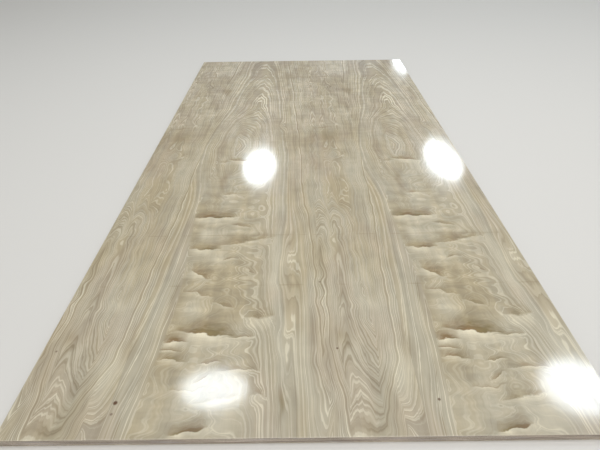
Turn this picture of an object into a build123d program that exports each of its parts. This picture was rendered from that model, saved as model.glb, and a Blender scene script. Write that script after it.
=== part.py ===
from build123d import *
import os
from itertools import cycle, islice

# A full sheet of birch plywood, four by eight feet, lying flat with its best side up.
# It is thirteen veneers glued face to face, each with its grain at right angles to the next.
# Units are millimetres. X runs across the sheet, Y along its length and its face grain, and Z up.
# The origin is the middle of the back face, which the sheet lies on.

# Outline of the trimmed sheet
sheet_width = 1220.0
sheet_length = 2440.0

# Veneers. The two outer ones are sanded after pressing, so they are thinner than the inner ones.
face_thickness = 1.3
inner_thickness = 1.4
back_thickness = 1.3
inner_count = 11

# Saw-cut outer edges, eased by one pass of a sanding block
arris_radius = 0.4

# Strips of veneer, laid edge to edge, that each inner layer is made up of.
# The first crossband starts at the near end, and each layer after it starts one strip later.
crossband_strips = (420.0, 220.0, 410.0, 240.0, 835.0)
long_band_strips = (505.0, 640.0, 390.0)
strip_shift = 37.0
narrowest_strip = 60.0

# A joint between two strips. The clipped edges part towards one edge of the sheet.
joint_mouth = 1.8
joint_depth = 140.0


def joint_places(extent, strips, turn):
    """Where the joints of one layer lie, measured from the sheet's middle across the strips."""
    start = turn % len(strips)
    order = strips[start:] + strips[:start]
    strip_limit = int((extent + turn * strip_shift) / min(strips)) + 1
    place = -extent / 2 - turn * strip_shift
    places = []
    for strip in islice(cycle(order), strip_limit):
        place += strip
        if abs(place) < extent / 2 - narrowest_strip:
            places.append(place)
    return places


def open_joint(place, edge):
    """Plan of one joint's opening: a thin wedge that runs in from the edge at Y = edge."""
    tip = edge - joint_depth if edge > 0 else edge + joint_depth
    return Polygon(
        (place - joint_mouth / 2, edge),
        (place + joint_mouth / 2, edge),
        (place, tip),
        align=None,
    )


def layer_plan(across, along, strips, turn):
    """Plan of one made-up layer with its strips along Y, less the openings of its joints."""
    plan = Rectangle(across, along)
    for number, place in enumerate(joint_places(across, strips, turn)):
        edge = along / 2 if (number + turn) % 2 else -along / 2
        plan -= open_joint(place, edge)
    return plan


def long_band(bottom, turn):
    """Inner layer with its grain along the sheet."""
    plan = layer_plan(sheet_width, sheet_length, long_band_strips, turn)
    return extrude(Pos(0, 0, bottom) * plan, inner_thickness)


def crossband(bottom, turn):
    """Inner layer with its grain across the sheet."""
    plan = layer_plan(sheet_length, sheet_width, crossband_strips, turn)
    return extrude(Pos(0, 0, bottom) * Rot(0, 0, 90) * plan, inner_thickness)


def back_veneer():
    """Whole rotary-cut veneer that the sheet lies on, with its lower edges eased."""
    veneer = extrude(Rectangle(sheet_width, sheet_length), back_thickness)
    return fillet(veneer.faces().sort_by(Axis.Z)[0].edges(), arris_radius)


def face_veneer(bottom):
    """Whole rotary-cut veneer of the best side, with its upper edges eased."""
    veneer = extrude(Pos(0, 0, bottom) * Rectangle(sheet_width, sheet_length), face_thickness)
    return fillet(veneer.faces().sort_by(Axis.Z)[-1].edges(), arris_radius)


def sheet():
    """Every veneer of the sheet, by name, numbered from the face down."""
    inner_stack = inner_count * inner_thickness
    pieces = {"face_veneer": face_veneer(back_thickness + inner_stack)}
    for layer in range(inner_count):
        number = layer + 2
        bottom = back_thickness + inner_stack - (layer + 1) * inner_thickness
        turn = layer // 2
        if layer % 2 == 0:
            pieces[f"crossband_{number:02d}"] = crossband(bottom, turn)
        else:
            pieces[f"long_band_{number:02d}"] = long_band(bottom, turn)
    pieces["back_veneer"] = back_veneer()
    return pieces


os.makedirs("parts", exist_ok=True)
for name, piece in sheet().items():
    export_step(piece, f"parts/{name}.step")
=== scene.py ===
from math import cos, pi, radians, sin

import bmesh
import bpy
from bpy.props import FloatProperty, FloatVectorProperty, PointerProperty
from mathutils import Matrix, Vector, noise


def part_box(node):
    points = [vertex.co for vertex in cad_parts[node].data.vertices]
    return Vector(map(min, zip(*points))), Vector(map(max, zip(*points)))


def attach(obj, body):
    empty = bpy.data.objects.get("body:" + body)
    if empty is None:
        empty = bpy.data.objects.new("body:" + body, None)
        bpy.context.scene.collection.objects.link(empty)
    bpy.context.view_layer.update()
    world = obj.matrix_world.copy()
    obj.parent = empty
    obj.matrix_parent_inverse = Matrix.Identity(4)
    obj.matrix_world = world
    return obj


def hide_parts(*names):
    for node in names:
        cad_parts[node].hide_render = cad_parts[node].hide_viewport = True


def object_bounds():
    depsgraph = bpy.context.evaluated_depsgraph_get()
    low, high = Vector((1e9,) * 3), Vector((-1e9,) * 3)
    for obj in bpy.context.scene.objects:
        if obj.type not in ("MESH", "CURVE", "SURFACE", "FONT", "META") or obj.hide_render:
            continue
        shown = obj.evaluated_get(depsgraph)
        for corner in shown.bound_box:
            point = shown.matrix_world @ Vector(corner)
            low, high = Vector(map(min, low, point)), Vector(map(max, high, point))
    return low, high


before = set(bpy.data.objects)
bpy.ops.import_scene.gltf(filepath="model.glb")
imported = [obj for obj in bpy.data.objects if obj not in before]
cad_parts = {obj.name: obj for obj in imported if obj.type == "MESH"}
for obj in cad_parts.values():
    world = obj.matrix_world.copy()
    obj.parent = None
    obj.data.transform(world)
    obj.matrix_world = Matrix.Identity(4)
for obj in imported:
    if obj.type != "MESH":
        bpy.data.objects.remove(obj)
CAD_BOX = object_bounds()

bl_info = {
    "name": "Birch Plywood Sheet",
    "version": (1, 0, 0),
    "blender": (4, 5, 0),
    "location": "3D View > Sidebar > Plywood",
    "description": "Dresses a plywood sheet: lacquered birch face, layered sawn edges and a studio stage",
    "category": "Object",
}

MM = 0.001

# Kinds of node, by Blender's names for them
MATH = "ShaderNodeMath"
VECTOR_MATH = "ShaderNodeVectorMath"
MAP_RANGE = "ShaderNodeMapRange"
NOISE = "ShaderNodeTexNoise"
MIX = "ShaderNodeMix"
# Settings of a node that mixes two colours. Its inputs 0, 6 and 7 are the share and the two colours.
COLOUR_MIX = {"output": 2, "data_type": "RGBA"}

# The frame's pieces. The inner layers are numbered from the face down.
FACE = "face_veneer"
BACK = "back_veneer"
CROSSBANDS = sorted(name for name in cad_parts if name.startswith("crossband"))
LONG_BANDS = sorted(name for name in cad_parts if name.startswith("long_band"))

SHEET_LOW, SHEET_HIGH = Vector(CAD_BOX[0]), Vector(CAD_BOX[1])
SHEET_WIDTH, SHEET_LENGTH, SHEET_THICKNESS = SHEET_HIGH - SHEET_LOW
# Height of the lowest glue line and step from one glue line to the next, in millimetres
FIRST_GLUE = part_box(BACK)[1].z / MM
INNER_PLY = (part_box(CROSSBANDS[0])[1].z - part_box(CROSSBANDS[0])[0].z) / MM

# The log that the face was peeled from, in millimetres. The figure comes round again once a turn.
TURN = 633.0
LOG_RADIUS = TURN / (2 * pi)
# Across the sheet, one turn is counted from here, where the rings are even and plain
TURN_START = 200.0
# Across the sheet, where the ring count is highest
RING_CREST = 700.0

# How noise on the log is drawn out: its scale across the log both ways, and along it
LONG_GRAIN = (1.0, 1.0, 0.35)
COLUMN_GRAIN = (1.0, 1.0, 0.13)
FIBRE_GRAIN = (1.0, 1.0, 0.03)
CURLY_GRAIN = (0.4, 0.4, 1.3)

# Scale of the fibres' noise along a veneer's grain, which draws them out
FIBRE_DRAW = 0.02

# The curly zone's left, right and far side: where each fades out, and where the zone is full
ZONE_LEFT = (258.0, 267.0)
ZONE_RIGHT = (520.0, 430.0)
ZONE_FAR = (140.0, -400.0)
# The wave of its left side: its middle along the sheet, its length over two pi, and its reach
ZONE_WAVE_MIDDLE = -850.0
ZONE_WAVE_LENGTH = 143.0
ZONE_WAVE_REACH = 12.0

# Share of a soft mark's height that is left at its half width
SOFT_SHARE = 0.37
# How far the tone of whole years swings each way
BAND_REACH = 0.17

# The photograph's camera, above the face and a little before the near end.
# Its place is in metres, its angles are in degrees and its lens is in millimetres.
CAMERA_PLACE = Vector((-0.018, -1.683, 0.833 + SHEET_THICKNESS))
CAMERA_PITCH = -35.86
CAMERA_YAW = 0.15
CAMERA_ROLL = -0.8
CAMERA_LENS = 27.29

# Marks of the face's figure. Places are millimetres across the turn and along the sheet from its middle.
# Nests of points, where the rings gain on the knife from one place along the sheet to another:
# name, across, half width, from, to, rings
NESTS = (
    ("near nest", 740.0, 84.0, -1400.0, -900.0, 3.0),
    ("upper nest", 690.0, 80.0, -560.0, -330.0, 5.0),
    ("first V", 757.0, 40.0, -1400.0, -850.0, 9.0),
    ("second V", 640.0, 16.0, -1350.0, -980.0, 3.6),
    ("third V", 684.0, 15.0, -1370.0, -990.0, 3.4),
    ("near point", 794.0, 22.0, -1040.0, -1300.0, -8.0),
    ("left tip", 632.0, 14.0, -460.0, -380.0, 2.5),
    ("right tip", 722.0, 16.0, -480.0, -390.0, 2.5),
    ("inner point", 650.0, 14.0, -520.0, -650.0, -3.0),
    ("far arch", 400.0, 140.0, 1320.0, 450.0, -5.0),
    ("cathedral", 335.0, 120.0, 480.0, -20.0, -12.0),
    ("inner cathedral", 335.0, 36.0, 430.0, 60.0, -3.0),
    ("burl crest", 335.0, 110.0, 60.0, -480.0, 14.0),
)

# Swells of the rings under the knife: name, across, along, half width, half length, rings
SWELLS = (
    ("upper eye", 712.0, -53.0, 30.0, 40.0, 5.0),
    ("narrow eye", 508.0, 236.0, 20.0, 34.0, 3.0),
    ("long oval", 757.0, -700.0, 20.0, 100.0, 2.0),
    ("arch", 760.0, -830.0, 24.0, 26.0, 2.0),
    ("lower oval", 757.0, -905.0, 26.0, 50.0, 2.0),
    ("spindle", 543.0, -725.0, 26.0, 185.0, 3.0),
    ("near spindle", 551.0, -1030.0, 12.0, 140.0, 1.8),
    ("small ring", 485.0, -615.0, 12.0, 12.0, 3.0),
    ("pale blob", 318.0, -880.0, 30.0, 46.0, 3.0),
    ("pillow", 318.0, -700.0, 34.0, 40.0, 2.5),
    ("upper pillow", 310.0, -570.0, 30.0, 36.0, 2.5),
    ("grey pillow", 425.0, -460.0, 34.0, 50.0, 2.5),
)

# Patches where the wood is paler: name, across, along, half width, half length, strength
PALE_PATCHES = (
    ("pale blob", 318.0, -880.0, 28.0, 42.0, 0.8),
    ("pillow", 345.0, -685.0, 50.0, 34.0, 0.8),
    ("upper pillow", 308.0, -570.0, 28.0, 34.0, 0.7),
    ("grey pillow", 425.0, -450.0, 40.0, 50.0, 0.15),
    ("spindle", 532.0, -720.0, 28.0, 120.0, 0.7),
    ("near spindle", 550.0, -1010.0, 9.0, 80.0, 0.6),
    ("long oval", 757.0, -700.0, 14.0, 80.0, 0.25),
    ("below the arch", 760.0, -868.0, 24.0, 22.0, 0.5),
    ("left far", 765.0, 200.0, 50.0, 160.0, 0.3),
    ("beside the V", 810.0, -1085.0, 26.0, 60.0, 0.6),
    ("bowl", 400.0, -560.0, 50.0, 16.0, 0.6),
    ("under the strong fold", 370.0, -995.0, 60.0, 22.0, 0.6),
    ("left near", 470.0, -1160.0, 30.0, 40.0, 0.4),
    ("nest", 700.0, -1005.0, 45.0, 50.0, 0.45),
)

# Curly folds, brown above a sharp edge and cream under it:
# name, across, along, half width, fade above the edge, tilt in degrees, strength
FOLDS = (
    ("first", 318.0, -484.0, 84.0, 62.0, 0.0, 1.1),
    ("bowl", 402.0, -532.0, 38.0, 24.0, -14.0, 0.5),
    ("diagonal", 425.0, -612.0, 100.0, 62.0, 14.0, 0.5),
    ("second", 312.0, -647.0, 50.0, 40.0, 0.0, 0.9),
    ("thin dash", 390.0, -694.0, 24.0, 12.0, 4.0, 0.5),
    ("marks", 452.0, -744.0, 22.0, 30.0, -40.0, 0.45),
    ("lobe", 314.0, -754.0, 40.0, 44.0, -28.0, 0.9),
    ("soft", 325.0, -832.0, 46.0, 26.0, -14.0, 0.45),
    ("upper dash", 395.0, -870.0, 32.0, 26.0, -14.0, 0.55),
    ("triangle", 490.0, -915.0, 38.0, 80.0, 0.0, 0.55),
    ("strong", 362.0, -962.0, 76.0, 60.0, -6.0, 1.3),
    ("strong right", 442.0, -976.0, 44.0, 24.0, 0.0, 0.6),
    ("strong left", 298.0, -985.0, 34.0, 36.0, 4.0, 1.0),
    ("hook", 292.0, -1012.0, 28.0, 14.0, -12.0, 0.85),
    ("warm band", 302.0, -1038.0, 38.0, 24.0, -6.0, 0.65),
    ("dash", 385.0, -1043.0, 27.0, 10.0, 2.0, 0.9),
    ("low bar", 448.0, -1067.0, 48.0, 22.0, 0.0, 0.7),
    ("low slant", 375.0, -1088.0, 26.0, 18.0, 24.0, 0.65),
    ("low line", 345.0, -1113.0, 42.0, 18.0, 6.0, 0.45),
    ("broad slant", 410.0, -1138.0, 58.0, 42.0, 12.0, 0.55),
    ("beside the dagger", 500.0, -1128.0, 22.0, 30.0, 0.0, 0.4),
    ("near edge", 365.0, -1206.0, 46.0, 36.0, 16.0, 1.0),
    ("last", 390.0, -1236.0, 60.0, 26.0, 0.0, 0.8),
    ("left blot", 300.0, -110.0, 30.0, 28.0, 0.0, 0.45),
    ("upper smudge", 365.0, -100.0, 60.0, 60.0, -10.0, 0.85),
    ("core foot", 350.0, -347.0, 32.0, 36.0, 0.0, 0.65),
    ("far dash", 407.0, 84.0, 28.0, 10.0, 0.0, 0.5),
)

# Soft stains: name, across, along, half width, half length, strength
STAINS = (
    ("far smudge", 213.0, 685.0, 24.0, 28.0, 0.8),
    ("far smudge again", 213.0 + TURN, 685.0, 24.0, 28.0, 0.8),
    ("short dash", 692.0, 207.0, 36.0, 4.0, 0.8),
    ("middle patch", 725.0, 115.0, 60.0, 55.0, 0.5),
    ("far mark", 327.0, 912.0, 15.0, 22.0, 0.5),
    ("second far mark", 411.0, 905.0, 20.0, 10.0, 0.45),
    ("third far mark", 610.0, 905.0, 34.0, 8.0, 0.45),
    ("fourth far mark", 735.0, 908.0, 22.0, 12.0, 0.55),
    ("dark core", 314.0, -250.0, 16.0, 120.0, 0.75),
    ("beside the core", 268.0, -20.0, 12.0, 70.0, 0.25),
    ("dagger", 549.0, -1142.0, 5.5, 38.0, 1.2),
    ("brown stripe", 690.0, -810.0, 24.0, 140.0, 0.2),
    ("brown band", 685.0, 80.0, 50.0, 330.0, 0.3),
    ("reddish patch", 690.0, -978.0, 18.0, 26.0, 0.5),
    ("long streak", 690.0, 820.0, 8.0, 330.0, 0.3),
    ("far band", 480.0, 905.0, 160.0, 22.0, 0.35),
    ("far warmth", 400.0, 1080.0, 200.0, 160.0, 0.12),
    ("middle warmth", 700.0, 130.0, 110.0, 80.0, 0.15),
)

# Pin knots: across and along the whole sheet, radius and strength
PIN_KNOTS = (
    (209.0, -1142.0, 4.0, 1.0),
    (209.0, -1167.0, 2.6, 0.6),
    (869.0, -1142.0, 2.8, 0.8),
    (32.0, -1010.0, 2.4, 0.6),
    (671.0, -1010.0, 2.4, 0.8),
    (640.0, -790.0, 2.4, 0.6),
)

# A layer's UV map, from 0 to 1: the rim that stays free at its left and right, and the band that each
# side of the layer fills. The sides that show get most of it.
MAP_RIM = 0.005
INNER_MAP = {
    "near": (0.01, 0.22), "far": (0.24, 0.45), "left": (0.47, 0.68), "right": (0.70, 0.91),
    "inside": (0.93, 0.95), "top": (0.96, 0.97), "bottom": (0.98, 0.99),
}
FACE_MAP = {
    "top": (0.08, 0.995), "near": (0.002, 0.014), "far": (0.018, 0.03), "left": (0.034, 0.046),
    "right": (0.05, 0.062), "bottom": (0.066, 0.074),
}

# Sawn walls: divisions of each stretch of wall, its least length, and the length of the saw's waves
SAW_CUTS = 120
SHORTEST_STRETCH = 10 * MM
SAW_WAVE = 14 * MM
# How far from the sheet's edge a wall's middle may lie, and how near two corners are the same one
WALL_REACH = 1 * MM
SAME_PLACE = 0.001 * MM

# Joints of the first crossband, which show through the face as faint lines across it, and their width
TELEGRAPHED_JOINTS = (-800.0, -580.0, -170.0, 70.0, 905.0)
JOINT_WIDTH = 4.0


def linear(code):
    """Turns an sRGB hex colour such as "b5ab95" into the linear colour that a shader takes."""
    parts = [int(code[i : i + 2], 16) / 255 for i in (0, 2, 4)]
    return tuple(c / 12.92 if c <= 0.04045 else ((c + 0.055) / 1.055) ** 2.4 for c in parts) + (1.0,)


def colour_setting(name, description, code):
    """A colour of the add-on's panel, from its sRGB hex code."""
    return FloatVectorProperty(name=name, description=description, default=linear(code), size=4,
                               subtype="COLOR")


def add_node(tree, kind, *inputs, named=None, output=0, **settings):
    """Adds a node with its settings, fills its inputs with values or links, and returns an output."""
    node = tree.nodes.new(kind)
    for name, value in settings.items():
        setattr(node, name, value)
    for key, value in list(enumerate(inputs)) + list((named or {}).items()):
        if isinstance(value, bpy.types.NodeSocket):
            tree.links.new(value, node.inputs[key])
        else:
            node.inputs[key].default_value = value
    return node.outputs[output]


def new_material(name):
    """A material with an empty node tree."""
    material = bpy.data.materials.new(name)
    material.use_nodes = True
    material.node_tree.nodes.clear()
    return material


def finish_material(material, shader):
    """Links the shader to the material's output."""
    tree = material.node_tree
    output = tree.nodes.new("ShaderNodeOutputMaterial")
    tree.links.new(shader, output.inputs[0])
    return material


def place_in_mm(tree):
    """The place on the sheet in millimetres, with across counted from its left edge."""
    place = add_node(tree, "ShaderNodeTexCoord", output=3)
    place = add_node(tree, VECTOR_MATH, place, named={"Scale": 1 / MM}, operation="SCALE")
    return add_node(tree, VECTOR_MATH, place, (SHEET_WIDTH / 2 / MM, 0.0, 0.0), operation="ADD")


def soft_marks(tree, place, marks):
    """Sum of soft oval marks, each a name, a centre, a half width, a half length and a height."""
    total = 0.0
    for name, across, along, half_width, half_length, height in marks:
        mark = add_node(tree, VECTOR_MATH, place, (1 / half_width, 1 / half_length, 0.0),
                        (-across / half_width, -along / half_length, 0.0), operation="MULTIPLY_ADD")
        mark.node.label = name
        mark = add_node(tree, VECTOR_MATH, mark, mark, operation="DOT_PRODUCT", output=1)
        mark = add_node(tree, MATH, SOFT_SHARE, mark, operation="POWER")
        total = add_node(tree, MATH, mark, height, total, operation="MULTIPLY_ADD")
    return total


def nest_marks(tree, across, along):
    """Rings gained over the nests: each rises smoothly along the sheet, to a sharp crest."""
    total = 0.0
    for name, middle, half_width, start, end, rings in NESTS:
        gain = add_node(tree, MAP_RANGE, along, start, end, 0.0, rings, interpolation_type="SMOOTHSTEP")
        gain.node.label = name
        beside = add_node(tree, MATH, across, 1 / half_width, -middle / half_width,
                          operation="MULTIPLY_ADD")
        beside = add_node(tree, MATH, beside, operation="ABSOLUTE")
        beside = add_node(tree, MATH, beside, 1.1, operation="POWER")
        beside = add_node(tree, MATH, SOFT_SHARE, beside, operation="POWER")
        total = add_node(tree, MATH, beside, gain, total, operation="MULTIPLY_ADD")
    return total


def fold_marks(tree, place):
    """Brown and cream of the curly folds: brown fades upwards from a sharp edge, and cream lies under it."""
    dark_total = light_total = 0.0
    for name, across, along, half_width, fade, tilt, strength in FOLDS:
        level = Vector((cos(radians(tilt)), sin(radians(tilt)), 0.0))
        upright = Vector((-level.y, level.x, 0.0))
        fold = add_node(tree, VECTOR_MATH, place, (across, along, 0.0), operation="SUBTRACT")
        fold.node.label = name
        above = add_node(tree, VECTOR_MATH, fold, upright / fade, operation="DOT_PRODUCT", output=1)
        taper = add_node(tree, VECTOR_MATH, fold, level / half_width, operation="DOT_PRODUCT", output=1)
        taper = add_node(tree, MATH, taper, taper, operation="MULTIPLY")
        taper = add_node(tree, MATH, 1.0, taper, operation="SUBTRACT", use_clamp=True)
        is_above = add_node(tree, MAP_RANGE, above, -0.04, 0.04)
        fading = add_node(tree, MAP_RANGE, above, 1.2, 0.0)
        fading = add_node(tree, MATH, fading, 2.0, operation="POWER")
        fading = add_node(tree, MATH, fading, strength, operation="MULTIPLY")
        fading = add_node(tree, MATH, fading, is_above, operation="MULTIPLY")
        dark_total = add_node(tree, MATH, fading, taper, dark_total, operation="MULTIPLY_ADD")
        under = add_node(tree, MAP_RANGE, above, -0.9, 0.0)
        under = add_node(tree, MATH, under, 1.8, operation="POWER")
        under = add_node(tree, MATH, under, strength, operation="MULTIPLY")
        is_under = add_node(tree, MATH, 1.0, is_above, operation="SUBTRACT")
        under = add_node(tree, MATH, under, is_under, operation="MULTIPLY")
        light_total = add_node(tree, MATH, under, taper, light_total, operation="MULTIPLY_ADD")
    return dark_total, light_total


def curly_zone(tree, across, wandering, along):
    """Whether a place is past the curly zone's sharp left side, and how far inside the zone it lies."""
    side = add_node(tree, MATH, along, 1 / ZONE_WAVE_LENGTH, -ZONE_WAVE_MIDDLE / ZONE_WAVE_LENGTH,
                    operation="MULTIPLY_ADD")
    side = add_node(tree, MATH, side, operation="COSINE")
    side = add_node(tree, MATH, side, -ZONE_WAVE_REACH, across, operation="MULTIPLY_ADD")
    left = add_node(tree, MAP_RANGE, side, *ZONE_LEFT, interpolation_type="SMOOTHSTEP")
    right = add_node(tree, MAP_RANGE, wandering, *ZONE_RIGHT, interpolation_type="SMOOTHSTEP")
    near = add_node(tree, MAP_RANGE, along, *ZONE_FAR, interpolation_type="SMOOTHSTEP")
    zone = add_node(tree, MATH, left, right, operation="MULTIPLY")
    return left, add_node(tree, MATH, zone, near, operation="MULTIPLY")


def ring_lines(tree, rings):
    """Brown late wood, pale early wood and bands of tone along a ring count, uneven as real years are."""
    years = add_node(tree, NOISE, named={"W": rings, "Scale": 0.5, "Detail": 1.0}, noise_dimensions="1D")
    years = add_node(tree, MATH, years, 1.4, rings, operation="MULTIPLY_ADD")
    season = add_node(tree, MATH, years, operation="FRACT")
    band = add_node(tree, NOISE, named={"W": rings, "Scale": 0.5, "Detail": 2.5, "Roughness": 0.6},
                    noise_dimensions="1D")
    band = add_node(tree, MAP_RANGE, band, 0.3, 0.7, -BAND_REACH, BAND_REACH)
    weight = add_node(tree, NOISE, named={"W": rings, "Scale": 0.9, "Detail": 2.0, "Roughness": 0.7},
                      noise_dimensions="1D", output=1)
    weight = add_node(tree, "ShaderNodeSeparateXYZ", weight)
    fine = add_node(tree, NOISE, named={"W": rings, "Scale": 3.2, "Detail": 1.5}, noise_dimensions="1D")

    rise = add_node(tree, MATH, season, 4.5, operation="POWER")
    end = add_node(tree, MAP_RANGE, season, 1.0, 0.95)
    late = add_node(tree, MATH, rise, end, operation="MULTIPLY")
    late_weight = add_node(tree, MAP_RANGE, weight, 0.4, 0.66, 0.1, 1.05)
    late = add_node(tree, MATH, late, late_weight, operation="MULTIPLY")
    fine_brown = add_node(tree, MAP_RANGE, fine, 0.48, 0.34, 0.0, 0.45)
    brown = add_node(tree, MATH, late, fine_brown, operation="MAXIMUM")

    begin = add_node(tree, MAP_RANGE, season, 0.0, 0.05)
    early = add_node(tree, MAP_RANGE, season, 0.24, 0.05, interpolation_type="SMOOTHSTEP")
    early = add_node(tree, MATH, early, begin, operation="MULTIPLY")
    early_weight = add_node(tree, MAP_RANGE, weight.node.outputs[1], 0.4, 0.62, 0.1, 1.2)
    early = add_node(tree, MATH, early, early_weight, operation="MULTIPLY")
    fine_pale = add_node(tree, MAP_RANGE, fine, 0.54, 0.64, 0.0, 0.6)
    pale = add_node(tree, MATH, early, fine_pale, operation="MAXIMUM")
    return brown, pale, band


def wandered(tree, place, source, grain, detail, reach):
    """The place moved by a noise with marks about as long as grain, up to half of reach each way."""
    drift = add_node(tree, NOISE, source, named={"Scale": 1 / grain, "Detail": detail}, output=1)
    drift = add_node(tree, VECTOR_MATH, drift, (0.5, 0.5, 0.5), operation="SUBTRACT")
    return add_node(tree, VECTOR_MATH, drift, reach, place, operation="MULTIPLY_ADD")


def places_on_log(tree, across, along):
    """The place on the log, in three dimensions so that noise closes round it, and its drawn-out copies."""
    angle = add_node(tree, MATH, across, 2 * pi / TURN, operation="MULTIPLY")
    log_x = add_node(tree, MATH, angle, operation="COSINE")
    log_y = add_node(tree, MATH, angle, operation="SINE")
    log_x = add_node(tree, MATH, log_x, LOG_RADIUS, operation="MULTIPLY")
    log_y = add_node(tree, MATH, log_y, LOG_RADIUS, operation="MULTIPLY")
    log = add_node(tree, "ShaderNodeCombineXYZ", log_x, log_y, along)
    grains = [add_node(tree, VECTOR_MATH, log, grain, operation="MULTIPLY")
              for grain in (LONG_GRAIN, COLUMN_GRAIN, FIBRE_GRAIN, CURLY_GRAIN)]
    return (log, *grains)


def ring_count(tree, pith, along, grains, zone, straight):
    """Rings under the knife, from the off-centre pith, the log's taper and waves of several lengths."""
    long_log, columns, fibres = grains
    upright_share = add_node(tree, MAP_RANGE, zone, 0.0, 1.0, 8.0, 3.0)
    rings = add_node(tree, MATH, pith, upright_share, operation="MULTIPLY")
    rings = add_node(tree, MATH, along, 1 / 260, rings, operation="MULTIPLY_ADD")
    wave = add_node(tree, NOISE, long_log, named={"Scale": 1 / 150, "Detail": 1.0})
    rings = add_node(tree, MATH, wave, 3.5, rings, operation="MULTIPLY_ADD")
    for source, wave_length, height in ((columns, 50.0, 1.7), (fibres, 14.0, 0.4), (fibres, 4.5, 0.25)):
        wave = add_node(tree, NOISE, source, named={"Scale": 1 / wave_length, "Detail": 1.0})
        wave = add_node(tree, MATH, wave, straight, operation="MULTIPLY")
        rings = add_node(tree, MATH, wave, height, rings, operation="MULTIPLY_ADD")
    return rings


def faded_lines(tree, lines, patch, pith, along, zone):
    """The lines and bands, faded in patches and in the curly zone, and firmer towards the far end."""
    brown, pale, band = lines
    brown_patch = add_node(tree, MAP_RANGE, patch, 0.38, 0.58, 0.1, 1.15)
    pale_patch = add_node(tree, MAP_RANGE, patch, 0.64, 0.44, 0.15, 1.1)
    far_gain = add_node(tree, MAP_RANGE, along, -200.0, 600.0, 0.75, 1.5)
    end_gain = add_node(tree, MAP_RANGE, along, -700.0, -1000.0, 0.0, 0.1)
    end_gain = add_node(tree, MATH, end_gain, far_gain, operation="ADD")
    faint_brown = add_node(tree, MAP_RANGE, zone, 0.2, 1.0, 1.0, 0.35)
    faint_pale = add_node(tree, MAP_RANGE, zone, 0.2, 1.0, 1.0, 0.55)

    # Calmer along the crest of the rings in the far half, and where the curly zone meets the near end
    crest = add_node(tree, MAP_RANGE, pith, 0.86, 0.98, 1.0, 0.6)
    crest = add_node(tree, MAP_RANGE, along, -420.0, -200.0, 1.0, crest)
    near_zone = add_node(tree, MAP_RANGE, along, -1010.0, -1090.0, 0.0, 0.3)
    near_zone = add_node(tree, MATH, near_zone, zone, operation="MULTIPLY")
    near_zone = add_node(tree, MATH, 1.0, near_zone, operation="SUBTRACT")
    for factor in (brown_patch, faint_brown, end_gain, crest, near_zone):
        brown = add_node(tree, MATH, brown, factor, operation="MULTIPLY")
    for factor in (pale_patch, faint_pale, end_gain, crest, near_zone):
        pale = add_node(tree, MATH, pale, factor, operation="MULTIPLY")
    return brown, pale, add_node(tree, MATH, band, faint_brown, operation="MULTIPLY")


def warmth_and_rose(tree, rings, long_log, across, along, zone, straight):
    """How warm and how rosy the wood is: broad bands along the rings, warmer towards the far end, and a
    painted tint of warm light from the left and cool light from the right.
    """
    warmth = add_node(tree, NOISE, named={"W": rings, "Scale": 0.22, "Detail": 2.0}, noise_dimensions="1D")
    broad = add_node(tree, NOISE, long_log, named={"Scale": 1 / 90, "Detail": 2.0}, output=1)
    broad = add_node(tree, "ShaderNodeSeparateXYZ", broad)
    warmth = add_node(tree, MATH, warmth, broad, operation="ADD")
    warmth = add_node(tree, MAP_RANGE, warmth, 0.75, 1.25, interpolation_type="SMOOTHSTEP")
    zone_warmth = add_node(tree, MAP_RANGE, along, -150.0, -480.0, -0.35, 0.3)
    warmth = add_node(tree, MATH, zone, zone_warmth, warmth, operation="MULTIPLY_ADD")
    far_warmth = add_node(tree, MAP_RANGE, along, -900.0, 1100.0, -0.2, 0.95)
    # Painted light: the wood is warmer on the left and cooler on the right, as the side lights tint it
    painted_side_light_tint = add_node(tree, MAP_RANGE, across, 0.0, SHEET_WIDTH / MM, 0.2, -0.2)
    far_warmth = add_node(tree, MATH, far_warmth, straight, painted_side_light_tint, operation="MULTIPLY_ADD")
    near_warmth = add_node(tree, MAP_RANGE, along, -950.0, -1130.0, 0.0, -0.3)
    far_warmth = add_node(tree, MATH, far_warmth, near_warmth, operation="ADD")
    warmth = add_node(tree, MATH, warmth, far_warmth, operation="ADD", use_clamp=True)
    rose = add_node(tree, MAP_RANGE, broad.node.outputs[1], 0.42, 0.66, interpolation_type="SMOOTHSTEP")
    return warmth, add_node(tree, MATH, rose, straight, operation="MULTIPLY")


def wood_tone(tree, fibres, long_log, curly_log, along, zone, band):
    """How light the wood is: long streaks, mottle, blotches across the curl, bands along the rings, and
    painted light that lightens it towards the far end.
    """
    tone = add_node(tree, NOISE, fibres, named={"Scale": 1 / 24, "Detail": 3.0})
    mottle = add_node(tree, NOISE, long_log, named={"Scale": 1 / 26, "Detail": 3.0})
    tone = add_node(tree, MATH, tone, mottle, operation="ADD")
    tone = add_node(tree, MAP_RANGE, tone, 0.75, 1.25, 0.87, 1.07)
    shade = add_node(tree, NOISE, curly_log, named={"Scale": 1 / 30, "Detail": 2.0})
    shade = add_node(tree, MAP_RANGE, shade, 0.36, 0.64, -0.09, 0.11)
    blotchy = add_node(tree, MAP_RANGE, along, -500.0, 700.0, 0.1, 0.95)
    blotchy = add_node(tree, MATH, blotchy, zone, operation="MAXIMUM")
    tone = add_node(tree, MATH, shade, blotchy, tone, operation="MULTIPLY_ADD")
    tone = add_node(tree, MATH, band, 0.45, tone, operation="MULTIPLY_ADD")
    # Painted light: the face is made lighter towards the far end, as the light falls brighter there
    far_painted_light = add_node(tree, MAP_RANGE, along, -1200.0, 1200.0, 0.97, 1.065)
    return add_node(tree, MATH, tone, far_painted_light, operation="MULTIPLY")


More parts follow.
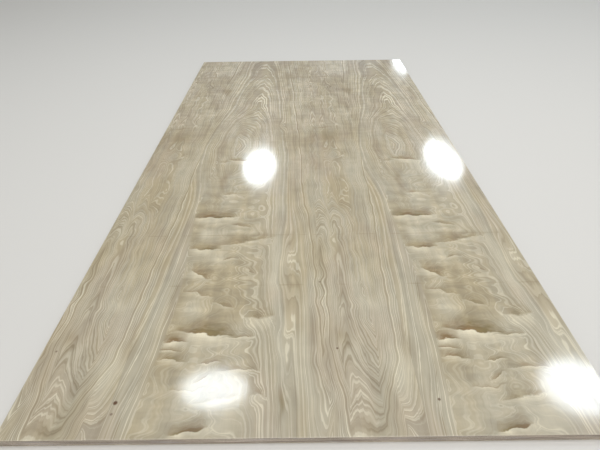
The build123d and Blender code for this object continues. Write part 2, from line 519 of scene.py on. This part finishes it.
def pin_knots(tree, place):
    """Cores of the pin knots."""
    knots = 0.0
    for x, y, radius, strength in PIN_KNOTS:
        knot = add_node(tree, VECTOR_MATH, place, (x, y, 0.0), operation="DISTANCE", output=1)
        knot = add_node(tree, MAP_RANGE, knot, radius * 1.6, radius * 0.6, 0.0, strength,
                        interpolation_type="SMOOTHSTEP")
        knots = add_node(tree, MATH, knots, knot, operation="MAXIMUM")
    return knots


def joint_lines(tree, along, patch):
    """Faint lines where the joints beneath show through, broken in patches."""
    joints = 0.0
    for y in TELEGRAPHED_JOINTS:
        joint = add_node(tree, MATH, along, y, JOINT_WIDTH / 2, operation="COMPARE")
        joints = add_node(tree, MATH, joints, joint, operation="MAXIMUM")
    joint_patch = add_node(tree, MAP_RANGE, patch, 0.48, 0.6)
    return add_node(tree, MATH, joints, joint_patch, operation="MULTIPLY")


def figure_group():
    """Node group that works out the face's figure from a place on the sheet in millimetres."""
    tree = bpy.data.node_groups.new("Rotary-cut birch figure", "ShaderNodeTree")
    tree.interface.new_socket("Place", in_out="INPUT", socket_type="NodeSocketVector")
    names = ("Brown line", "Pale line", "Smudge", "Fold light", "Stain", "Pale patch", "Warmth", "Rose",
             "Tone", "Knot", "Joint")
    for name in names:
        tree.interface.new_socket(name, in_out="OUTPUT", socket_type="NodeSocketFloat")
    place = tree.nodes.new("NodeGroupInput").outputs[0]
    place = add_node(tree, VECTOR_MATH, place, (1.0, 1.0, 0.0), operation="MULTIPLY")
    across = add_node(tree, "ShaderNodeSeparateXYZ", place)
    along = across.node.outputs[1]
    log, long_log, columns, fibres, curly_log = places_on_log(tree, across, along)

    # The place within one turn, wandering gently for the rings and more finely for the folds
    wrapped = add_node(tree, MATH, across, TURN_START + TURN, TURN_START, operation="WRAP")
    plain_turn = add_node(tree, "ShaderNodeCombineXYZ", wrapped, along)
    turn = wandered(tree, plain_turn, log, 90.0, 1.5, (40.0, 44.0, 0.0))
    fold_turn = wandered(tree, plain_turn, log, 36.0, 4.0, (34.0, 34.0, 0.0))

    # The curly zone, where the rings lie on their side and dip under folds
    wandering = add_node(tree, "ShaderNodeSeparateXYZ", turn)
    left_side, zone = curly_zone(tree, wrapped, wandering, along)
    straight = add_node(tree, MATH, 1.0, zone, operation="SUBTRACT")
    smudge, fold_light = fold_marks(tree, fold_turn)
    smudge = add_node(tree, MATH, smudge, left_side, operation="MULTIPLY")
    fold_light = add_node(tree, MATH, fold_light, left_side, operation="MULTIPLY")
    curl = add_node(tree, NOISE, curly_log, named={"Scale": 1 / 60, "Detail": 1.0})
    curl = add_node(tree, MAP_RANGE, curl, 0.0, 1.0, -2.6, 2.6)

    # The rings, with their nests and swells, pushed aside by the curl and the folds, and their lines
    pith = add_node(tree, MATH, across, 2 * pi / TURN, -RING_CREST * 2 * pi / TURN, operation="MULTIPLY_ADD")
    pith = add_node(tree, MATH, pith, operation="COSINE")
    rings = ring_count(tree, pith, along, (long_log, columns, fibres), zone, straight)
    nests = nest_marks(tree, wandering, wandering.node.outputs[1])
    rings = add_node(tree, MATH, rings, nests, operation="ADD")
    rings = add_node(tree, MATH, rings, soft_marks(tree, turn, SWELLS), operation="ADD")
    for push, reach in ((curl, zone), (smudge, -3.0), (fold_light, 3.5)):
        rings = add_node(tree, MATH, push, reach, rings, operation="MULTIPLY_ADD")
    brown, pale, band = ring_lines(tree, rings)
    dark_years = add_node(tree, MAP_RANGE, band, 0.0, -BAND_REACH, 0.0, 0.28)
    brown = add_node(tree, MATH, brown, dark_years, operation="ADD")
    patch = add_node(tree, NOISE, long_log, named={"Scale": 1 / 60, "Detail": 2.0})
    brown, pale, band = faded_lines(tree, (brown, pale, band), patch, pith, along, zone)

    # Smudges are streaked across the grain, as the curl is
    streak = add_node(tree, NOISE, curly_log, named={"Scale": 1 / 14, "Detail": 3.0})
    streak = add_node(tree, MAP_RANGE, streak, 0.35, 0.65, 0.6, 1.25)
    smudge = add_node(tree, MATH, smudge, streak, operation="MULTIPLY")

    warmth, rose = warmth_and_rose(tree, rings, long_log, across, along, zone, straight)
    tone = wood_tone(tree, fibres, long_log, curly_log, along, zone, band)
    knots = pin_knots(tree, place)
    joints = joint_lines(tree, along, patch)
    stains = soft_marks(tree, turn, STAINS)
    pale_patches = soft_marks(tree, turn, PALE_PATCHES)
    results = (brown, pale, smudge, fold_light, stains, pale_patches, warmth, rose, tone, knots, joints)
    output = tree.nodes.new("NodeGroupOutput")
    for number, result in enumerate(results):
        tree.links.new(result, output.inputs[number])
    return tree


def add_fibres(tree, place, colour, swing):
    """Fibres just under a millimetre wide along the sheet, which lighten and darken the colour by swing."""
    fibre_place = add_node(tree, VECTOR_MATH, place, (1.0, FIBRE_DRAW, 1.0), operation="MULTIPLY")
    fibres = add_node(tree, NOISE, fibre_place, named={"Scale": 1.2, "Detail": 3.0})
    tone = add_node(tree, MAP_RANGE, fibres, 0.3, 0.7, 1 - swing, 1 + swing)
    colour = add_node(tree, VECTOR_MATH, colour, named={"Scale": tone}, operation="SCALE")
    return colour, fibres, fibre_place


def lacquered_birch(look):
    """Rotary-cut birch veneer under clear high-gloss lacquer: pale cream wood with faint brown rings."""
    material = new_material("Rotary-cut birch, gloss lacquer")
    tree = material.node_tree
    place = place_in_mm(tree)
    figure = tree.nodes.new("ShaderNodeGroup")
    figure.node_tree = figure_group()
    tree.links.new(place, figure.inputs[0])
    marks = figure.outputs

    # Smudges are olive in one place and rusty in another
    rust = add_node(tree, NOISE, place, named={"Scale": 1 / 60})
    rust = add_node(tree, MAP_RANGE, rust, 0.42, 0.6)
    smudge = add_node(tree, MIX, named={0: rust, 6: look.smudge, 7: look.rusty_smudge}, **COLOUR_MIX)

    colour = add_node(tree, MIX, named={0: marks["Warmth"], 6: look.face_pale, 7: look.face_warm},
                      **COLOUR_MIX)
    layers = (
        ("Rose", look.face_rose, 0.45),
        ("Pale patch", look.pale_line, 0.6),
        ("Pale line", look.pale_line, 1.0),
        ("Brown line", look.brown_line, 1.0),
        ("Fold light", look.cream, 0.95),
        ("Smudge", smudge, 1.2),
        ("Stain", smudge, 0.6),
        ("Joint", look.brown_line, 0.3),
        ("Knot", look.knot, 1.0),
    )
    for name, shade, share in layers:
        amount = add_node(tree, MATH, marks[name], share, operation="MULTIPLY", use_clamp=True)
        colour = add_node(tree, MIX, named={0: amount, 6: colour, 7: shade}, **COLOUR_MIX)

    # The rim of the face is paler: partly a painted highlight of the eased arris catching the light, partly
    # wood where the lacquer was sanded thin
    rim = add_node(tree, VECTOR_MATH, place, (-SHEET_WIDTH / 2 / MM, 0.0, 0.0), operation="ADD")
    rim = add_node(tree, VECTOR_MATH, rim, operation="ABSOLUTE")
    rim = add_node(tree, "ShaderNodeSeparateXYZ", rim)
    from_side = add_node(tree, MATH, SHEET_WIDTH / 2 / MM, rim, operation="SUBTRACT")
    from_end = add_node(tree, MATH, SHEET_LENGTH / 2 / MM, rim.node.outputs[1], operation="SUBTRACT")
    rim = add_node(tree, MATH, from_side, from_end, operation="MINIMUM")
    rim = add_node(tree, MAP_RANGE, rim, 3.0, 1.0, 0.0, 0.2)
    colour = add_node(tree, MIX, named={0: rim, 6: colour, 7: look.rim}, **COLOUR_MIX)

    # Long streaks and fibres
    colour = add_node(tree, VECTOR_MATH, colour, named={"Scale": marks["Tone"]}, operation="SCALE")
    colour, fibres, fibre_place = add_fibres(tree, place, colour, 0.032)

    # The lacquer lies over the fibres and flows out, with a faint orange peel
    peel = add_node(tree, NOISE, place, named={"Scale": 1 / 9, "Detail": 1.0})
    lie = add_node(tree, NOISE, fibre_place, named={"Scale": 1 / 5, "Detail": 2.0})
    lie = add_node(tree, MATH, lie, peel, operation="ADD")
    bump = add_node(tree, "ShaderNodeBump", 0.35, 0.1 * MM, named={"Height": lie})
    roughness = add_node(tree, MAP_RANGE, fibres, 0.3, 0.7, 0.38, 0.50)
    shader = add_node(tree, "ShaderNodeBsdfPrincipled", named={
        "Base Color": colour, "Roughness": roughness, "Normal": bump, "Coat Normal": bump,
        "Coat Weight": 1.0, "Coat Roughness": 0.09, "Coat IOR": 1.5})
    return finish_material(material, shader)


def sawn_birch(name, grain, look):
    """Sawn edge of a birch veneer: streaked along its grain, darker and dotted where the saw cut across."""
    material = new_material(name)
    tree = material.node_tree
    place = place_in_mm(tree)
    facing = add_node(tree, "ShaderNodeTexCoord", output=1)
    facing = add_node(tree, VECTOR_MATH, facing, grain, operation="DOT_PRODUCT", output=1)
    facing = add_node(tree, MATH, facing, operation="ABSOLUTE")

    # Fibres about half a millimetre wide, drawn out along the grain
    drawn_out = tuple(FIBRE_DRAW if direction else 1.0 for direction in grain)
    fibre_place = add_node(tree, VECTOR_MATH, place, drawn_out, operation="MULTIPLY")
    fibres = add_node(tree, NOISE, fibre_place, named={"Scale": 2.2, "Detail": 3.0, "Roughness": 0.6})
    fibres = add_node(tree, MAP_RANGE, fibres, 0.3, 0.7)
    streaks = add_node(tree, NOISE, fibre_place, named={"Scale": 0.5, "Detail": 2.0})
    streaks = add_node(tree, MAP_RANGE, streaks, 0.35, 0.65)

    # Each layer, and each stretch of it, has a tone of its own
    height = add_node(tree, "ShaderNodeSeparateXYZ", place, output=2)
    layer = add_node(tree, MATH, height, FIRST_GLUE, operation="SUBTRACT")
    number = add_node(tree, MATH, layer, 1 / INNER_PLY, operation="MULTIPLY")
    number = add_node(tree, MATH, number, operation="FLOOR")
    stretch = add_node(tree, VECTOR_MATH, place, (1 / 90, 1 / 90, 0.0), operation="MULTIPLY")
    number = add_node(tree, MATH, number, 0.25, operation="MULTIPLY")
    stretch = add_node(tree, NOISE, stretch, number, named={"Scale": 1.0, "Detail": 3.0},
                       output=1, noise_dimensions="4D")
    stretch = add_node(tree, "ShaderNodeSeparateXYZ", stretch)
    # Cool pale patches along some stretches of the edge
    cool_pale_patch = add_node(tree, MAP_RANGE, stretch.node.outputs[1], 0.54, 0.68, 0.0, 0.7)
    stretch = add_node(tree, MAP_RANGE, stretch, 0.36, 0.64)

    side = add_node(tree, MIX, named={0: streaks, 6: look.side_pale, 7: look.side_dark}, **COLOUR_MIX)
    end = add_node(tree, MIX, named={0: streaks, 6: look.end_pale, 7: look.end_dark}, **COLOUR_MIX)
    colour = add_node(tree, MIX, named={0: facing, 6: side, 7: end}, **COLOUR_MIX)
    tone = add_node(tree, MATH, fibres, 0.16, 0.84, operation="MULTIPLY_ADD")
    colour = add_node(tree, MIX, named={0: cool_pale_patch, 6: colour, 7: look.cool_pale_patch}, **COLOUR_MIX)
    shift = add_node(tree, MATH, stretch, 0.55, 0.72, operation="MULTIPLY_ADD")
    tone = add_node(tree, MATH, tone, shift, operation="MULTIPLY")
    colour = add_node(tree, VECTOR_MATH, colour, named={"Scale": tone}, operation="SCALE")

    # Glue line along the layer's borders, dark and a little broken
    border = add_node(tree, MATH, layer, INNER_PLY / 2, operation="PINGPONG")
    border = add_node(tree, MAP_RANGE, border, 0.2, 0.06, interpolation_type="SMOOTHSTEP")
    broken = add_node(tree, MAP_RANGE, streaks, 0.0, 0.4, 0.5, 1.0)
    border = add_node(tree, MATH, border, broken, operation="MULTIPLY")
    colour = add_node(tree, MIX, named={0: border, 6: colour, 7: look.glue}, **COLOUR_MIX)

    bump = add_node(tree, "ShaderNodeBump", 0.6, 0.2 * MM, named={"Height": fibres})
    roughness = add_node(tree, MAP_RANGE, fibres, 0.0, 1.0, 0.9, 0.7)
    shader = add_node(tree, "ShaderNodeBsdfPrincipled", named={
        "Base Color": colour, "Roughness": roughness, "Normal": bump})
    return finish_material(material, shader)


def sanded_birch(look):
    """Back of the sheet: plain rotary-cut birch, sanded and bare, with long quiet rings."""
    material = new_material("Rotary-cut birch, sanded")
    tree = material.node_tree
    place = place_in_mm(tree)
    long_place = add_node(tree, VECTOR_MATH, place, (1.0, 0.22, 1.0), operation="MULTIPLY")
    rings = add_node(tree, NOISE, long_place, named={"Scale": 1 / 210, "Detail": 1.5})
    rings = add_node(tree, MATH, rings, 34.0, operation="MULTIPLY")
    brown, pale = ring_lines(tree, rings)[:2]
    patch = add_node(tree, NOISE, long_place, named={"Scale": 1 / 90, "Detail": 2.0})
    colour = add_node(tree, MIX, named={0: patch, 6: look.face_pale, 7: look.face_warm}, **COLOUR_MIX)
    for amount, shade in ((pale, look.pale_line), (brown, look.brown_line)):
        amount = add_node(tree, MATH, amount, 0.6, operation="MULTIPLY")
        colour = add_node(tree, MIX, named={0: amount, 6: colour, 7: shade}, **COLOUR_MIX)
    colour, fibres = add_fibres(tree, place, colour, 0.08)[:2]
    bump = add_node(tree, "ShaderNodeBump", 0.4, 0.1 * MM, named={"Height": fibres})
    roughness = add_node(tree, MAP_RANGE, fibres, 0.3, 0.7, 0.55, 0.7)
    shader = add_node(tree, "ShaderNodeBsdfPrincipled", named={
        "Base Color": colour, "Roughness": roughness, "Normal": bump})
    return finish_material(material, shader)


def side_of(face):
    """Which side of the sheet a face lies on, or "inside" for the walls of an open joint."""
    middle, way = face.calc_center_median(), face.normal
    if abs(way.z) > 0.5:
        return "top" if way.z > 0 else "bottom"
    if abs(middle.x) > SHEET_HIGH.x - WALL_REACH:
        return "left" if middle.x < 0 else "right"
    if abs(middle.y) > SHEET_HIGH.y - WALL_REACH:
        return "near" if middle.y < 0 else "far"
    return "inside"


def layer_shape(node_name):
    """A packed layer's shape with its loose triangles merged and its flat sides made whole."""
    shape = bmesh.new()
    shape.from_mesh(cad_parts[node_name].data)
    bmesh.ops.remove_doubles(shape, verts=shape.verts, dist=SAME_PLACE)
    bmesh.ops.dissolve_limit(shape, angle_limit=radians(1), verts=shape.verts, edges=shape.edges)
    return shape


def roughen_walls(shape, look):
    """Divides a layer's sawn walls and sets them back a little, unevenly, as the saw leaves them."""
    walls = [face for face in shape.faces if side_of(face) in ("left", "right", "near", "far")]
    around = {edge for face in walls for edge in face.edges}
    rails = [edge for edge in shape.edges if edge in around and edge.calc_length() > SHORTEST_STRETCH]
    bmesh.ops.subdivide_edges(shape, edges=rails, cuts=SAW_CUTS, use_grid_fill=False)
    for corner in shape.verts:
        set_back = noise.noise(corner.co / SAW_WAVE) * 0.5 + 0.5
        for axis in (0, 1):
            edge = SHEET_HIGH[axis]
            if abs(corner.co[axis]) > edge - SAME_PLACE:
                corner.co[axis] *= 1 - look.saw_depth * set_back / edge


def lay_out(shape, bands):
    """Spreads a layer over its UV map: each side fills a band, and hidden sides get little room."""
    bake = shape.loops.layers.uv.new("OFBake")
    low = min(corner.co.z for corner in shape.verts)
    high = max(corner.co.z for corner in shape.verts)
    for face in shape.faces:
        side = side_of(face)
        start, end = bands[side]
        for loop in face.loops:
            place = loop.vert.co - SHEET_LOW
            across, along = place.x / SHEET_WIDTH, place.y / SHEET_LENGTH
            up = (loop.vert.co.z - low) / (high - low)
            if side in ("top", "bottom"):
                u, v = across, along
            elif side in ("left", "right"):
                u, v = along, up
            else:
                u, v = across, up
            loop[bake].uv = (MAP_RIM + (1 - 2 * MAP_RIM) * u, start + (end - start) * v)


def make_object(shape, name, materials):
    """Turns a finished shape into an object of the scene, with its materials."""
    mesh = bpy.data.meshes.new(name)
    shape.to_mesh(mesh)
    shape.free()
    for material in materials:
        mesh.materials.append(material)
    item = bpy.data.objects.new(name, mesh)
    bpy.context.scene.collection.objects.link(item)
    return item


def make_piece(shape, node_name, materials):
    """Makes a layer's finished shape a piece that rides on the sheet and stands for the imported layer."""
    piece = make_object(shape, node_name + "_finished", materials)
    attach(piece, "root")
    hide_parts(node_name)


class PlywoodFaceLook(bpy.types.PropertyGroup):
    """Colours of the lacquered face, and its eased edge."""

    arris: FloatProperty(
        name="Arris", description="Radius that the face's upper edges are eased to",
        default=0.4 * MM, min=0.0, max=1.0 * MM, precision=5, unit="LENGTH")
    face_pale: colour_setting("Pale wood", "Wood between the rings, at its palest", "bab19a")
    face_warm: colour_setting("Warm wood", "Wood between the rings, at its warmest", "b1a281")
    face_rose: colour_setting("Rosy wood", "Wood with a faint rosy cast", "b3a28d")
    pale_line: colour_setting("Pale line", "Early wood along a ring", "e9e1c8")
    brown_line: colour_setting("Brown line", "Late wood along a ring", "8b7957")
    cream: colour_setting("Cream", "Wood that swells under a curly fold", "e4dabf")
    smudge: colour_setting("Olive smudge", "Wood that dips under a curly fold", "83703f")
    rusty_smudge: colour_setting("Rusty smudge", "Redder wood that dips under a curly fold", "856a40")
    # Rim: partly a painted highlight of the arris, partly wood where the lacquer is thin
    rim: colour_setting("Rim", "Rim of the face, where the lacquer is thin", "e0d9c8")
    knot: colour_setting("Pin knot", "Core of a pin knot", "5c3a16")


class PlywoodEdgeLook(bpy.types.PropertyGroup):
    """Colours and roughness of the sawn edges."""

    side_pale: colour_setting("Pale side grain", "Layer sawn along its grain, at its palest", "ddd3c4")
    side_dark: colour_setting("Dark side grain", "Layer sawn along its grain, at its darkest", "beb0a1")
    end_pale: colour_setting("Pale end grain", "Layer sawn across its grain, at its palest", "b3a595")
    end_dark: colour_setting("Dark end grain", "Layer sawn across its grain, at its darkest", "8c7c6e")
    # Cool pale patches on some stretches of the sawn edge
    cool_pale_patch: colour_setting("Torn wood", "Cool pale wood where the saw tore the fibres", "cfc7c6")
    saw_depth: FloatProperty(
        name="Saw roughness", description="How far a layer's sawn edge is set back at most",
        default=0.12 * MM, min=0.0, max=0.5 * MM, precision=5, unit="LENGTH")
    glue: colour_setting("Glue line", "Dark resin glue between two layers", "4a3a30")


class PlywoodStageLook(bpy.types.PropertyGroup):
    """Light and floor of the stage."""

    sky_strength: FloatProperty(
        name="Studio light", description="Strength of the even light all round", default=0.42, min=0.0)
    sky_left: FloatVectorProperty(
        name="Studio left", description="Colour of the even light from the left",
        default=(0.98, 0.95, 0.89, 1.0), size=4, subtype="COLOR")
    sky_right: FloatVectorProperty(
        name="Studio right", description="Colour of the even light from the right",
        default=(0.90, 0.91, 0.90, 1.0), size=4, subtype="COLOR")
    key_power: FloatProperty(
        name="Soft box", description="Power of the soft box over the sheet",
        default=106.0, min=0.0, unit="POWER")
    front_power: FloatProperty(
        name="Front light", description="Power of the low light on the near end",
        default=4.6, min=0.0, unit="POWER")
    lamp_strength: FloatProperty(
        name="Ceiling lamps", description="Brightness of the lamps that the lacquer mirrors",
        default=13.5, min=0.0)
    lamp_colour: FloatVectorProperty(
        name="Lamp colour", description="Cool white of the ceiling lamps",
        default=(0.84, 0.93, 1.0), size=3, subtype="COLOR")
    floor: colour_setting("Floor", "Colour of the plain floor", "dcdad6")


class PLYWOOD_OT_face(bpy.types.Operator):
    """Give the face veneer its lacquered birch figure"""

    bl_idname = "plywood.face"
    bl_label = "Face Veneer"

    def execute(self, context):
        scene = context.scene
        low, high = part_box(FACE)
        middle, size = (low + high) / 2, high - low
        shape = bmesh.new()
        bmesh.ops.create_cube(shape, size=1.0, matrix=Matrix.LocRotScale(middle, None, size))
        upper = [edge for edge in shape.edges if all(corner.co.z > middle.z for corner in edge.verts)]
        bmesh.ops.bevel(shape, geom=upper, offset=scene.plywood_face.arris, affect="EDGES", segments=4,
                        profile=0.5, material=-1)
        lay_out(shape, FACE_MAP)
        for face in shape.faces:
            face.material_index = 0 if face.normal.z > 0.1 else 1
        finishes = (lacquered_birch(scene.plywood_face),
                    sawn_birch("Birch face veneer, sawn", (0.0, 1.0, 0.0), scene.plywood_edge))
        make_piece(shape, FACE, finishes)
        return {"FINISHED"}


class PLYWOOD_OT_layers(bpy.types.Operator):
    """Give the inner layers their sawn edges, and the back its sanded birch"""

    bl_idname = "plywood.layers"
    bl_label = "Inner Layers and Back"

    def execute(self, context):
        look = context.scene.plywood_edge
        cross = sawn_birch("Birch crossband, sawn", (1.0, 0.0, 0.0), look)
        along = sawn_birch("Birch long band, sawn", (0.0, 1.0, 0.0), look)
        kinds = ((CROSSBANDS, "crossband_birch", cross), (LONG_BANDS, "long_band_birch", along))
        for names, slot, finish in kinds:
            for name in names:
                shape = layer_shape(name)
                roughen_walls(shape, look)
                lay_out(shape, INNER_MAP)
                make_piece(shape, name, [finish])
        back = sanded_birch(context.scene.plywood_face)
        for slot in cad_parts[BACK].material_slots:
            slot.material = back
        return {"FINISHED"}


class PLYWOOD_OT_stage(bpy.types.Operator):
    """Set the floor, the studio light, the ceiling lamps and the camera"""

    bl_idname = "plywood.stage"
    bl_label = "Stage"

    # Half the floor's width in metres
    FLOOR_REACH = 30.0

    # Soft lights: name, place and size in metres
    SOFT_BOX = ("soft box", (0.5, -0.9, 4.4), (3.0, 2.0))
    FRONT_LIGHT = ("front light", (0.0, -4.5, 0.5), (3.0, 1.0))
    WHITE = (1.0, 1.0, 1.0)

    # Ceiling lamps in two rows: name, place, size across and along in metres, share of their brightness.
    # The last is the dim glow of the ceiling beyond them.
    LAMPS = (
        ("left near lamp", (-1.09, 1.62, 4.0), (0.80, 0.54), 1.0),
        ("left middle lamp", (-0.91, 7.2, 4.0), (0.70, 1.5), 1.0),
        ("right near lamp", (3.31, 1.60, 4.0), (0.9, 0.77), 1.0),
        ("right middle lamp", (3.17, 7.42, 4.0), (0.70, 1.8), 1.0),
        ("right far lamp", (3.60, 15.0, 4.0), (0.40, 2.2), 1.0),
        ("ceiling glow", (1.6, 15.5, 4.0), (2.6, 4.5), 0.02),
    )

    def floor(self, look):
        shape = bmesh.new()
        bmesh.ops.create_grid(shape, x_segments=1, y_segments=1, size=self.FLOOR_REACH)
        material = new_material("Matt studio floor")
        shader = add_node(material.node_tree, "ShaderNodeBsdfPrincipled", named={
            "Base Color": look.floor, "Roughness": 0.9})
        floor = make_object(shape, "studio_floor", [finish_material(material, shader)])

    def lamp(self, name, place, size, power, colour, shape, tip=0.0, spread=180.0):
        lamp = bpy.data.lights.new(name, "AREA")
        lamp.shape = shape
        lamp.size, lamp.size_y = size
        lamp.energy = power
        lamp.color = colour
        lamp.spread = radians(spread)
        holder = bpy.data.objects.new(name, lamp)
        holder.matrix_world = Matrix.Translation(place) @ Matrix.Rotation(radians(tip), 4, "X")
        holder.visible_camera = False
        bpy.context.scene.collection.objects.link(holder)

    def light(self, look):
        world = bpy.data.worlds.new("Studio")
        bpy.context.scene.world = world
        world.use_nodes = True
        tree = world.node_tree
        background = tree.nodes["Background"]
        way = add_node(tree, "ShaderNodeTexCoord", output=0)
        way = add_node(tree, "ShaderNodeSeparateXYZ", way)
        rightwards = add_node(tree, MAP_RANGE, way, -0.6, 0.6)
        colour = add_node(tree, MIX, named={0: rightwards, 6: look.sky_left, 7: look.sky_right},
                          **COLOUR_MIX)
        tree.links.new(colour, background.inputs["Color"])
        background.inputs["Strength"].default_value = look.sky_strength
        self.lamp(*self.SOFT_BOX, look.key_power, self.WHITE, "RECTANGLE")
        # The front light points at the near end, and its narrow spread keeps it off the floor before it
        self.lamp(*self.FRONT_LIGHT, look.front_power, self.WHITE, "RECTANGLE", tip=85.0, spread=60.0)
        for name, place, size, share in self.LAMPS:
            power = look.lamp_strength * share * pi * size[0] * size[1]
            self.lamp(name, place, size, power, look.lamp_colour, "ELLIPSE")

    def camera(self):
        camera = bpy.data.objects.new("camera", bpy.data.cameras.new("camera"))
        turn = Matrix.Rotation(radians(CAMERA_YAW), 4, "Z")
        tip = Matrix.Rotation(pi / 2 + radians(CAMERA_PITCH), 4, "X")
        roll = Matrix.Rotation(radians(CAMERA_ROLL), 4, "Z")
        camera.matrix_world = Matrix.Translation(CAMERA_PLACE) @ turn @ tip @ roll
        camera.data.lens = CAMERA_LENS
        bpy.context.scene.collection.objects.link(camera)
        bpy.context.scene.camera = camera

    def execute(self, context):
        look = context.scene.plywood_stage
        self.floor(look)
        self.light(look)
        self.camera()
        context.scene.view_settings.view_transform = "Standard"
        return {"FINISHED"}


class PLYWOOD_PT_sheet(bpy.types.Panel):
    """Sidebar panel with the sheet's steps"""

    bl_label = "Plywood Sheet"
    bl_space_type = "VIEW_3D"
    bl_region_type = "UI"
    bl_category = "Plywood"

    def draw(self, context):
        scene = context.scene
        for look in (scene.plywood_face, scene.plywood_edge, scene.plywood_stage):
            for name in look.__annotations__:
                self.layout.prop(look, name)
        for operator in (PLYWOOD_OT_face, PLYWOOD_OT_layers, PLYWOOD_OT_stage):
            self.layout.operator(operator.bl_idname)


CLASSES = (
    PlywoodFaceLook, PlywoodEdgeLook, PlywoodStageLook,
    PLYWOOD_OT_face, PLYWOOD_OT_layers, PLYWOOD_OT_stage, PLYWOOD_PT_sheet,
)


def register():
    for item in CLASSES:
        bpy.utils.register_class(item)
    bpy.types.Scene.plywood_face = PointerProperty(type=PlywoodFaceLook)
    bpy.types.Scene.plywood_edge = PointerProperty(type=PlywoodEdgeLook)
    bpy.types.Scene.plywood_stage = PointerProperty(type=PlywoodStageLook)


def unregister():
    del bpy.types.Scene.plywood_stage
    del bpy.types.Scene.plywood_edge
    del bpy.types.Scene.plywood_face
    for item in reversed(CLASSES):
        bpy.utils.unregister_class(item)


def main():
    register()
    bpy.ops.plywood.stage()
    bpy.ops.plywood.face()
    bpy.ops.plywood.layers()


if __name__ == "__main__":
    main()
